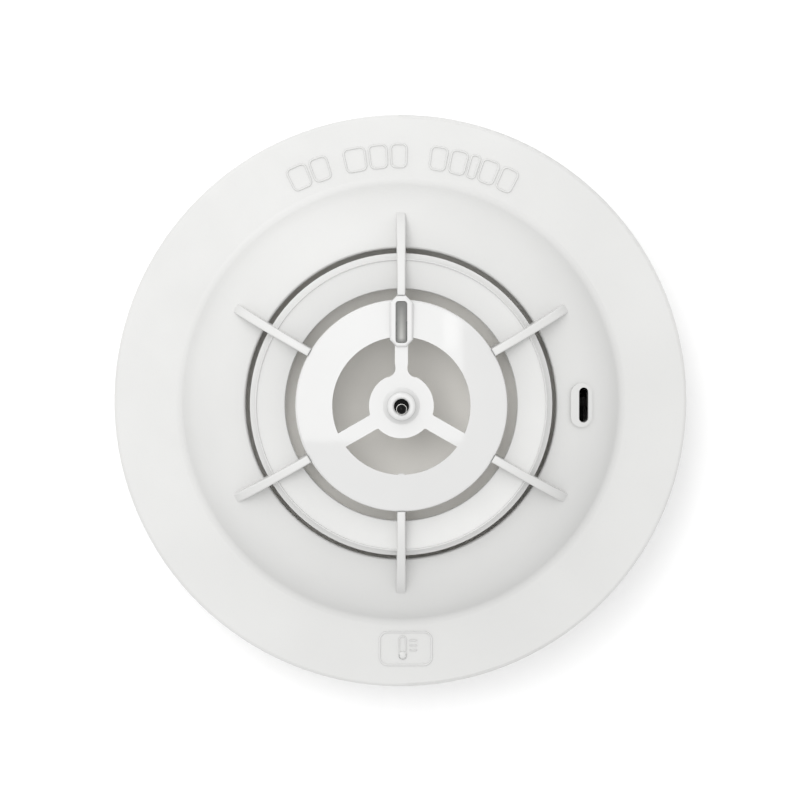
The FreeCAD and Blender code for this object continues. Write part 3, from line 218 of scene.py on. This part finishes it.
def light_window_plastic():
    """Smoky light pipe: dark at its sides, with a painted highlight streak along the middle over the stem.
    """
    finish = Finish("light_pipe", IOR=1.49, Coat_Weight=0.25, Coat_Roughness=0.06)
    # Half width and fade of the painted highlight streak, and where it ends along the window.
    streak_half, streak_fade = 0.12 * MM, 0.85 * MM
    inner_end, outer_end = (12.0 * MM, 12.8 * MM), (17.8 * MM, 19.0 * MM)
    stem, past_stem = (13.0 * MM, 18.0 * MM), 0.25
    across = finish.math("ABSOLUTE", finish.axis("X"))
    along = finish.axis("Y")
    middle = finish.between(across, 1.0, 0.0, streak_half, streak_fade)
    over_stem = finish.between(along, 1.0, past_stem, *stem)
    ends = finish.math("MULTIPLY", finish.between(along, 0.0, 1.0, *inner_end),
                       finish.between(along, 1.0, 0.0, *outer_end))
    # Painted highlight: a lighter streak down the middle of the window, strongest over the stem.
    painted_streak = finish.math("MULTIPLY", finish.math("MULTIPLY", middle, over_stem), ends)
    cloud = finish.noise(900, detail=3)
    body = finish.ramp(cloud, [(0.2, (0.075, 0.077, 0.072)), (0.8, (0.1, 0.102, 0.096))])
    finish.colour(finish.mix(finish.math("MULTIPLY", painted_streak, 0.75), body, (0.38, 0.38, 0.36)))
    finish.rough(finish.between(cloud, 0.12, 0.22))
    finish.relief((finish.noise(600), 4 * MICRON))
    return finish.material


def bead_epoxy():
    finish = Finish("bead_epoxy", IOR=1.3, Specular_IOR_Level=0.2)
    swirl = finish.noise(1500, detail=3)
    finish.colour(finish.ramp(swirl, [(0.3, (0.003, 0.003, 0.003)), (0.7, (0.007, 0.007, 0.0065))]))
    finish.rough(finish.between(swirl, 0.015, 0.04))
    finish.relief((finish.noise(1200, detail=1), 4 * MICRON))
    return finish.material


def black_rubber():
    finish = Finish("black_rubber", Specular_IOR_Level=0.08)
    bloom = finish.noise(800, detail=4, roughness=0.65)
    finish.colour(finish.ramp(bloom, [(0.35, (0.004, 0.004, 0.004)), (0.8, (0.016, 0.016, 0.015))]))
    finish.rough(finish.between(bloom, 0.55, 0.75))
    finish.relief((finish.noise(5200), 15 * MICRON))
    return finish.material


def gasket_foam():
    finish = Finish("gasket_foam")
    pores = finish.cells(3200)
    finish.colour(finish.ramp(pores, [(0.1, (0.02, 0.02, 0.022)), (0.6, (0.075, 0.075, 0.08))]))
    finish.rough(finish.between(pores, 0.95, 0.8, 0.1, 0.6))
    finish.relief((pores, 120 * MICRON))
    return finish.material


def board_laminate():
    """Solder mask over etched copper, with a few bright tinned spots."""
    finish = Finish("board_laminate", Specular_IOR_Level=0.5)
    tracks = finish.between(finish.cells(210, "DISTANCE_TO_EDGE"), 1.0, 0.0, 0.04, 0.07)
    mask = finish.ramp(finish.noise(90, detail=3), [(0.3, (0.006, 0.075, 0.03)), (0.7, (0.01, 0.1, 0.042))])
    copper = finish.mix(tracks, mask, (0.03, 0.17, 0.06))
    spots = finish.between(finish.cells(340), 1.0, 0.0, 0.10, 0.13)
    finish.colour(finish.mix(finish.math("MULTIPLY", spots, 0.9), copper, (0.72, 0.73, 0.72)))
    finish.rough(finish.between(finish.noise(1300), 0.22, 0.36))
    finish.relief((tracks, 25 * MICRON), (finish.noise(3000), 5 * MICRON))
    return finish.material


def chip_resin():
    """Moulded resin with visible filler, with light from above painted in as a slightly paler tone on top.
    """
    finish = Finish("chip_resin")
    filler = finish.noise(4200, detail=3, roughness=0.7)
    # Painted light: faces turned upwards are mixed towards a paler resin tone.
    top = finish.between(finish.facing("Z"), 0.0, 1.0, 0.4, 0.9)
    resin = finish.ramp(filler, [(0.3, (0.014, 0.014, 0.015)), (0.75, (0.045, 0.045, 0.047))])
    finish.colour(finish.mix(finish.math("MULTIPLY", top, 0.3), resin, (0.06, 0.06, 0.063)))
    finish.rough(finish.between(filler, 0.5, 0.68))
    finish.relief((filler, 12 * MICRON))
    return finish.material


def capacitor_can():
    """Bare aluminium on top, shrink sleeve round the side."""
    finish = Finish("capacitor_can")
    top = finish.between(finish.facing("Z"), 0.0, 1.0, 0.7, 0.9)
    grain = finish.noise(1400, detail=3, roughness=0.6, place=finish.stretched((1.0, 9.0, 1.0)))
    sleeve = finish.ramp(grain, [(0.3, (0.012, 0.014, 0.03)), (0.7, (0.03, 0.034, 0.06))])
    metal = finish.ramp(grain, [(0.3, (0.62, 0.62, 0.63)), (0.7, (0.82, 0.82, 0.83))])
    finish.colour(finish.mix(top, sleeve, metal))
    finish.feed(finish.shader.inputs["Metallic"], top)
    finish.rough(finish.between(grain, 0.25, 0.4))
    finish.relief((grain, 8 * MICRON))
    return finish.material


def led_package():
    """White ceramic frame round a clear amber window, as seen from above."""
    finish = Finish("led_package", Coat_Weight=0.4)
    window_half, window_edge = 0.55 * MM, 0.65 * MM
    top = finish.between(finish.facing("Z"), 0.0, 1.0, 0.7, 0.9)
    window = finish.between(finish.math("ABSOLUTE", finish.axis("X")), 1.0, 0.0, window_half, window_edge)
    frost = finish.noise(2500, detail=3)
    ceramic = finish.ramp(frost, [(0.3, (0.62, 0.62, 0.58)), (0.7, (0.74, 0.74, 0.7))])
    finish.colour(finish.mix(finish.math("MULTIPLY", top, window), ceramic, (0.5, 0.13, 0.05)))
    finish.rough(finish.between(frost, 0.25, 0.4))
    finish.relief((frost, 6 * MICRON))
    return finish.material


def label_film():
    """Silver film with blank printed rules inside a plain margin; nothing on it can be read."""
    finish = Finish("label_film", Coat_Weight=0.3, Coat_Roughness=0.2)
    printed_radius, margin_edge = 21.5 * MM, 21.6 * MM
    grain = finish.noise(2200, detail=3, roughness=0.6, place=finish.stretched((1.0, 7.0, 1.0)))
    film = finish.ramp(grain, [(0.3, (0.5, 0.51, 0.52)), (0.7, (0.62, 0.63, 0.64))])
    rules = finish.node("ShaderNodeTexWave", wave_type="BANDS", bands_direction="Y")
    finish.feed(rules.inputs["Vector"], finish.place)
    rules.inputs["Scale"].default_value = 95
    lines = finish.between(rules.outputs["Fac"], 0.0, 0.65, 0.9, 0.97)
    radius = finish.node("ShaderNodeVectorMath", operation="LENGTH")
    finish.feed(radius.inputs[0], finish.stretched((1.0, 1.0, 0.0)))
    inside = finish.between(radius.outputs["Value"], 1.0, 0.0, printed_radius, margin_edge)
    finish.colour(finish.mix(finish.math("MULTIPLY", lines, inside), film, (0.07, 0.07, 0.08)))
    finish.rough(finish.between(grain, 0.28, 0.42))
    finish.relief((grain, 4 * MICRON))
    return finish.material


materials = {
    "cover_plastic": moulded_plastic("cover_plastic", COVER_WHITE, 0.42, 9 * MICRON),
    "cap_plastic": glossy_cap_plastic(),
    "baffle_plastic": moulded_plastic("baffle_plastic", BAFFLE_CREAM, 0.45, 10 * MICRON),
    "housing_plastic": moulded_plastic("housing_plastic", HOUSING_WHITE, 0.5, 14 * MICRON),
    "base_plastic": moulded_plastic("base_plastic", BASE_WHITE, 0.5, 16 * MICRON),
    "tongue_plastic": moulded_plastic("tongue_plastic", TONGUE_BLACK, 0.5, 8 * MICRON, spread=0.04),
    "black_rubber": black_rubber(),
    "bead_epoxy": bead_epoxy(),
    "lead_wire": plated_metal("lead_wire", (0.78, 0.77, 0.74), (0.5, 0.46, 0.4), 0.3),
    "light_pipe": light_window_plastic(),
    "led_package": led_package(),
    "gasket_foam": gasket_foam(),
    "board_laminate": board_laminate(),
    "chip_resin": chip_resin(),
    "capacitor_can": capacitor_can(),
    "contact_metal": plated_metal("contact_metal", (0.83, 0.72, 0.5), (0.45, 0.33, 0.2), 0.3,
                                  brushed=(1.0, 8.0, 1.0)),
    "terminal_steel": plated_metal("terminal_steel", (0.74, 0.74, 0.72), (0.46, 0.44, 0.38), 0.32),
    "screw_steel": plated_metal("screw_steel", (0.72, 0.73, 0.74), (0.4, 0.4, 0.4), 0.28,
                                brushed=(1.0, 1.0, 6.0)),
    "label_film": label_film(),
}

for part in frame["record"]["subparts"]:
    node = nodes[part["node"]]
    node.data.materials.clear()
    node.data.materials.append(materials[part["material_slot"]])


# ---------------------------------------------------------------- outlines and skins

def outline_normals(points):
    """The outward direction at each point of an outline that runs anticlockwise."""
    normals = []
    count = len(points)
    for index in range(count):
        (ax, ay), (bx, by) = points[index - 1], points[(index + 1) % count]
        length = math.hypot(bx - ax, by - ay)
        normals.append(((by - ay) / length, -(bx - ax) / length))
    return normals


def rounded_box(width, height, corner, steps=6):
    """A rounded rectangle round the origin, anticlockwise."""
    points = []
    for sign_x, sign_y, start in ((1, 1, 0), (-1, 1, 90), (-1, -1, 180), (1, -1, 270)):
        for step in range(steps + 1):
            angle = math.radians(start + 90 * step / steps)
            points.append((sign_x * (width / 2 - corner) + corner * math.cos(angle),
                           sign_y * (height / 2 - corner) + corner * math.sin(angle)))
    return points


def circle(radius, steps=28):
    return [(radius * math.cos(math.tau * step / steps), radius * math.sin(math.tau * step / steps))
            for step in range(steps)]


def shifted(points, x, y):
    return [(px + x, py + y) for px, py in points]


def turned(points, angle):
    cos, sin = math.cos(math.radians(angle)), math.sin(math.radians(angle))
    return [(x * cos - y * sin, x * sin + y * cos) for x, y in points]


def add_rings(bm, rings, closed):
    """Joins rings of points into a skin; closed joins the last ring back to the first."""
    made = [[bm.verts.new(point) for point in ring] for ring in rings]
    count = len(made[0])
    pairs = list(zip(made, made[1:]))
    if closed:
        pairs.append((made[-1], made[0]))
    for low, high in pairs:
        for index in range(count):
            following = (index + 1) % count
            bm.faces.new((low[index], low[following], high[following], high[index]))
    return made


def profile_rings(points, profile, place):
    """A ring for each (outwards, up) step of a profile, offset from the outline and put in place."""
    normals = outline_normals(points)
    return [[place(x + nx * out, y + ny * out, up) for (x, y), (nx, ny) in zip(points, normals)]
            for out, up in profile]


def add_rib_outline(bm, points, width, height, place):
    """A raised rib with a rounded crest that follows an outline, with its root just under the surface."""
    half = width / 2
    root_flare, root_depth, draft = 0.08, 0.06, 0.05
    shoulder, crest_half = height * 0.65, half * 0.45
    outer_side = [(half + root_flare, -root_depth), (half, 0.0), (half - draft, shoulder),
                  (crest_half, height)]
    inner_side = [(-out, up) for out, up in reversed(outer_side)]
    add_rings(bm, profile_rings(points, outer_side + inner_side, place), True)


def add_pad(bm, points, height, place):
    """A raised pad with a rounded edge inside an outline."""
    root_flare, root_depth, draft, top_inset = 0.06, 0.06, 0.04, 0.12
    shoulder = height * 0.7
    profile = [(root_flare, -root_depth), (0.0, 0.0), (-draft, shoulder), (-top_inset, height)]
    made = add_rings(bm, profile_rings(points, profile, place), False)
    bm.faces.new(made[-1])
    bm.faces.new(tuple(reversed(made[0])))


def finish_piece(bm, name, slot, body):
    """Turns a bmesh into a smooth-shaded piece that rides on a body."""
    bmesh.ops.recalc_face_normals(bm, faces=bm.faces)
    mesh = bpy.data.meshes.new(name)
    bm.to_mesh(mesh)
    bm.free()
    for face in mesh.polygons:
        face.use_smooth = True
    piece = bpy.data.objects.new(name, mesh)
    bpy.context.scene.collection.objects.link(piece)
    mesh.materials.append(materials[slot])
    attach(piece, body)


# ---------------------------------------------------------------- marks on the flange

# The flange's top: radius and height at the foot of the dome, and its fall per millimetre outwards.
FLANGE_START, FLANGE_HEIGHT, FLANGE_FALL = 41.6, 24.56, 0.0441

# Blank tiles along the top of the flange, where the maker's lettering would be: (from, to) in degrees.
TILE_ANGLES = [(116.5, 112.0), (111.0, 107.0), (103.0, 98.2), (97.2, 93.2), (92.2, 88.6),
               (83.0, 79.3), (78.3, 74.6), (73.8, 71.8), (71.0, 67.2), (66.2, 62.5)]
TILE_RADIUS, TILE_HEIGHT, TILE_CORNER = 47.2, 4.4, 0.9
TILE_CORNER_SHARE = 0.35
TILE_RIB_WIDTH, MARK_PROUD = 0.42, 0.26

# A thermometer and three scale marks in a frame at the bottom of the flange.
SIGN_X, SIGN_Y = 1.0, -47.6
SIGN_WIDTH, SIGN_HEIGHT, SIGN_CORNER, SIGN_RIB_WIDTH = 10.0, 6.4, 1.5, 0.4
TUBE_X, TUBE_Y = -0.6, 0.2
TUBE_WIDTH, TUBE_HEIGHT, TUBE_CORNER, TUBE_RIB_WIDTH = 1.3, 4.4, 0.64, 0.32
BULB_Y, BULB_RADIUS = -1.35, 0.85
SCALE_COUNT, SCALE_X, SCALE_TOP, SCALE_STEP = 3, 1.45, 1.6, 0.95
SCALE_WIDTH, SCALE_HEIGHT, SCALE_CORNER = 1.5, 0.36, 0.17


def on_flange(x, y, up):
    """A point above the flange, all in millimetres, as metres."""
    fall = (math.hypot(x, y) - FLANGE_START) * FLANGE_FALL
    return Vector((x, y, FLANGE_HEIGHT - fall + up)) * MM


def on_sign(x, y, up):
    return on_flange(SIGN_X + x, SIGN_Y + y, up)


def make_tiles():
    bm = bmesh.new()
    for start, end in TILE_ANGLES:
        middle = math.radians((start + end) / 2)
        width = math.radians(start - end) * TILE_RADIUS
        corner = min(TILE_CORNER, width * TILE_CORNER_SHARE)

        def along_arc(x, y, up, middle=middle):
            angle, radius = middle - x / TILE_RADIUS, TILE_RADIUS + y
            return on_flange(radius * math.cos(angle), radius * math.sin(angle), up)

        add_rib_outline(bm, rounded_box(width, TILE_HEIGHT, corner), TILE_RIB_WIDTH, MARK_PROUD, along_arc)
    finish_piece(bm, "blank_tiles", "cover_plastic", "head")


def make_sign():
    bm = bmesh.new()
    add_rib_outline(bm, rounded_box(SIGN_WIDTH, SIGN_HEIGHT, SIGN_CORNER), SIGN_RIB_WIDTH, MARK_PROUD,
                    on_sign)
    tube = shifted(rounded_box(TUBE_WIDTH, TUBE_HEIGHT, TUBE_CORNER), TUBE_X, TUBE_Y)
    add_rib_outline(bm, tube, TUBE_RIB_WIDTH, MARK_PROUD, on_sign)
    add_pad(bm, shifted(circle(BULB_RADIUS), TUBE_X, BULB_Y), MARK_PROUD, on_sign)
    for index in range(SCALE_COUNT):
        mark = rounded_box(SCALE_WIDTH, SCALE_HEIGHT, SCALE_CORNER)
        add_pad(bm, shifted(mark, SCALE_X, SCALE_TOP - index * SCALE_STEP), MARK_PROUD, on_sign)
    finish_piece(bm, "thermometer_sign", "cover_plastic", "head")


# ---------------------------------------------------------------- ring round the bead

RING_CENTRE = Vector((0.0, -0.5, 44.32))
RING_RADIUS, WIRE_RADIUS = 0.95, 0.055


def make_bead_ring():
    """A tinned wire ring round the widest part of the bead."""
    bm = bmesh.new()
    hoops = []
    for across, up in circle(WIRE_RADIUS, steps=12):
        hoop = circle(RING_RADIUS + across, steps=64)
        hoops.append([(RING_CENTRE + Vector((x, y, up))) * MM for x, y in hoop])
    add_rings(bm, hoops, True)
    finish_piece(bm, "bead_ring", "lead_wire", "head")


# ---------------------------------------------------------------- back of the base

# The recess in the back of the base is this deep; ribs and marks stand down from its roof.
RECESS_DEPTH = 0.8
RIB_WIDTH, RIB_PROUD = 1.2, 0.55
INNER_RIB_RADIUS, OUTER_RIB_RADIUS = 16.6, 46.0
BAR_COUNT, BAR_LENGTH, BAR_RADIUS, BAR_CORNER = 8, 28.2, 31.3, 0.35
EJECTOR_COUNT, EJECTOR_RADIUS, EJECTOR_CIRCLE = 8, 2.0, 39.5
EJECTOR_RIB_WIDTH, EJECTOR_PROUD = 0.2, 0.1
DIAL_X, DIAL_Y, DIAL_RADIUS, DIAL_RIB_WIDTH, DIAL_PROUD = 21.5, 21.5, 3.4, 0.3, 0.2
TICK_COUNT, TICK_CIRCLE, TICK_LENGTH, TICK_WIDTH, TICK_CORNER = 12, 2.75, 0.5, 0.22, 0.1
SHAFT_Y, SHAFT_WIDTH, SHAFT_LENGTH, SHAFT_CORNER = -0.3, 0.5, 2.8, 0.2
ARROW_HEAD = [(0.9, 0.4), (0.0, 1.8), (-0.9, 0.4)]


def on_back(x, y, up):
    return Vector((x, y, RECESS_DEPTH - up)) * MM


def make_back_ribs():
    """Two round ribs joined by bars that run between the fixing slots."""
    bm = bmesh.new()
    add_rib_outline(bm, circle(INNER_RIB_RADIUS, steps=96), RIB_WIDTH, RIB_PROUD, on_back)
    add_rib_outline(bm, circle(OUTER_RIB_RADIUS, steps=160), RIB_WIDTH, RIB_PROUD, on_back)
    bar = shifted(rounded_box(BAR_LENGTH, RIB_WIDTH, BAR_CORNER), BAR_RADIUS, 0)
    step = 360 / BAR_COUNT
    for index in range(BAR_COUNT):
        add_pad(bm, turned(bar, step / 2 + step * index), RIB_PROUD, on_back)
    finish_piece(bm, "back_ribs", "base_plastic", "base")


def make_ejector_rings():
    bm = bmesh.new()
    ring = shifted(circle(EJECTOR_RADIUS), EJECTOR_CIRCLE, 0)
    for index in range(EJECTOR_COUNT):
        add_rib_outline(bm, turned(ring, 360 / EJECTOR_COUNT * index), EJECTOR_RIB_WIDTH, EJECTOR_PROUD,
                        on_back)
    finish_piece(bm, "ejector_rings", "base_plastic", "base")


def on_dial(x, y, up):
    return on_back(DIAL_X + x, DIAL_Y + y, up)


def make_moulding_dial():
    """A mould's month dial with ticks and an arrow, and no figures."""
    bm = bmesh.new()
    add_rib_outline(bm, circle(DIAL_RADIUS, steps=40), DIAL_RIB_WIDTH, DIAL_PROUD, on_dial)
    shaft = shifted(rounded_box(SHAFT_WIDTH, SHAFT_LENGTH, SHAFT_CORNER), 0, SHAFT_Y)
    add_pad(bm, shaft, DIAL_PROUD, on_dial)
    add_pad(bm, ARROW_HEAD, DIAL_PROUD, on_dial)
    tick = shifted(rounded_box(TICK_LENGTH, TICK_WIDTH, TICK_CORNER), TICK_CIRCLE, 0)
    for index in range(TICK_COUNT):
        add_pad(bm, turned(tick, 360 / TICK_COUNT * index), DIAL_PROUD, on_dial)
    finish_piece(bm, "moulding_dial", "base_plastic", "base")


make_tiles()
make_sign()
make_bead_ring()
make_back_ribs()
make_ejector_rings()
make_moulding_dial()


# ---------------------------------------------------------------- floor, light and camera

LAMP_AIM = (0.0, 0.0, 30 * MM)
CAMERA_PLACE, CAMERA_AIM = (-0.008, 0.040, 0.874), (-0.0001, 0.0003, 0.024)
SENSOR_WIDTH, FOCAL_LENGTH = 36.0, 199.3
FLOOR_HALF_SIZE, FLOOR_STEPS, FLOOR_DROP = 3.0, 12, 0.2 * MM


def looking(place, aim):
    """Stands at a place and looks at an aim, with its upper side towards the light window."""
    place, aim = Vector(place), Vector(aim)
    back = (place - aim).normalized()
    right = Vector((0.0, 1.0, 0.0)).cross(back).normalized()
    up = back.cross(right)
    return Matrix.Translation(place) @ Matrix((right, up, back)).transposed().to_4x4()


def make_floor():
    bm = bmesh.new()
    bmesh.ops.create_grid(bm, x_segments=FLOOR_STEPS, y_segments=FLOOR_STEPS, size=FLOOR_HALF_SIZE)
    mesh = bpy.data.meshes.new("floor")
    bm.to_mesh(mesh)
    bm.free()
    floor = bpy.data.objects.new("floor", mesh)
    bpy.context.scene.collection.objects.link(floor)
    floor.location.z = -FLOOR_DROP
    paper = Finish("floor_paper", Roughness=0.9, Specular_IOR_Level=0.1)
    paper.colour(paper.ramp(paper.noise(6), [(0.3, (0.93, 0.93, 0.93)), (0.7, (0.95, 0.95, 0.95))]))
    mesh.materials.append(paper.material)


def softbox(name, place, aim, width, depth, watts):
    light = bpy.data.lights.new(name, "AREA")
    light.shape = "RECTANGLE"
    light.size = width
    light.size_y = depth
    light.energy = watts
    lamp = bpy.data.objects.new(name, light)
    bpy.context.scene.collection.objects.link(lamp)
    lamp.matrix_world = looking(place, aim)


def make_lights():
    """Two boxes looking straight down for the cap's shine, two from above the picture, one small glint."""
    softbox("overhead", (-0.07, 0.075, 0.75), (-0.07, 0.075, 0.0), 0.38, 0.35, 0.77)
    softbox("upper_left", (-0.21, 0.235, 0.75), (-0.21, 0.235, 0.0), 0.42, 0.42, 1.5)
    softbox("upper", (-0.3, 0.8, 1.0), LAMP_AIM, 0.8, 0.8, 2.0)
    softbox("low_upper_left", (-0.65, 1.15, 0.42), LAMP_AIM, 1.0, 0.45, 1.6)
    softbox("window_glint", (0.135, 0.139, 1.06), LAMP_AIM, 0.035, 0.09, 0.013)


def make_world():
    world = bpy.data.worlds.new("studio")
    world.use_nodes = True
    backdrop = world.node_tree.nodes["Background"]
    backdrop.inputs["Color"].default_value = (1.0, 1.0, 1.0, 1.0)
    backdrop.inputs["Strength"].default_value = 1.0
    bpy.context.scene.world = world


def make_camera():
    """Nearly straight down on the sensing face, a little towards the light window's side."""
    lens = bpy.data.cameras.new("camera")
    lens.sensor_width = SENSOR_WIDTH
    lens.lens = FOCAL_LENGTH
    lens.clip_start = 0.01
    lens.clip_end = 20.0
    camera = bpy.data.objects.new("camera", lens)
    bpy.context.scene.collection.objects.link(camera)
    camera.matrix_world = looking(CAMERA_PLACE, CAMERA_AIM)
    bpy.context.scene.camera = camera


make_floor()
make_world()
make_lights()
make_camera()
view = bpy.context.scene.view_settings
view.view_transform = "Standard"
view.look = "None"
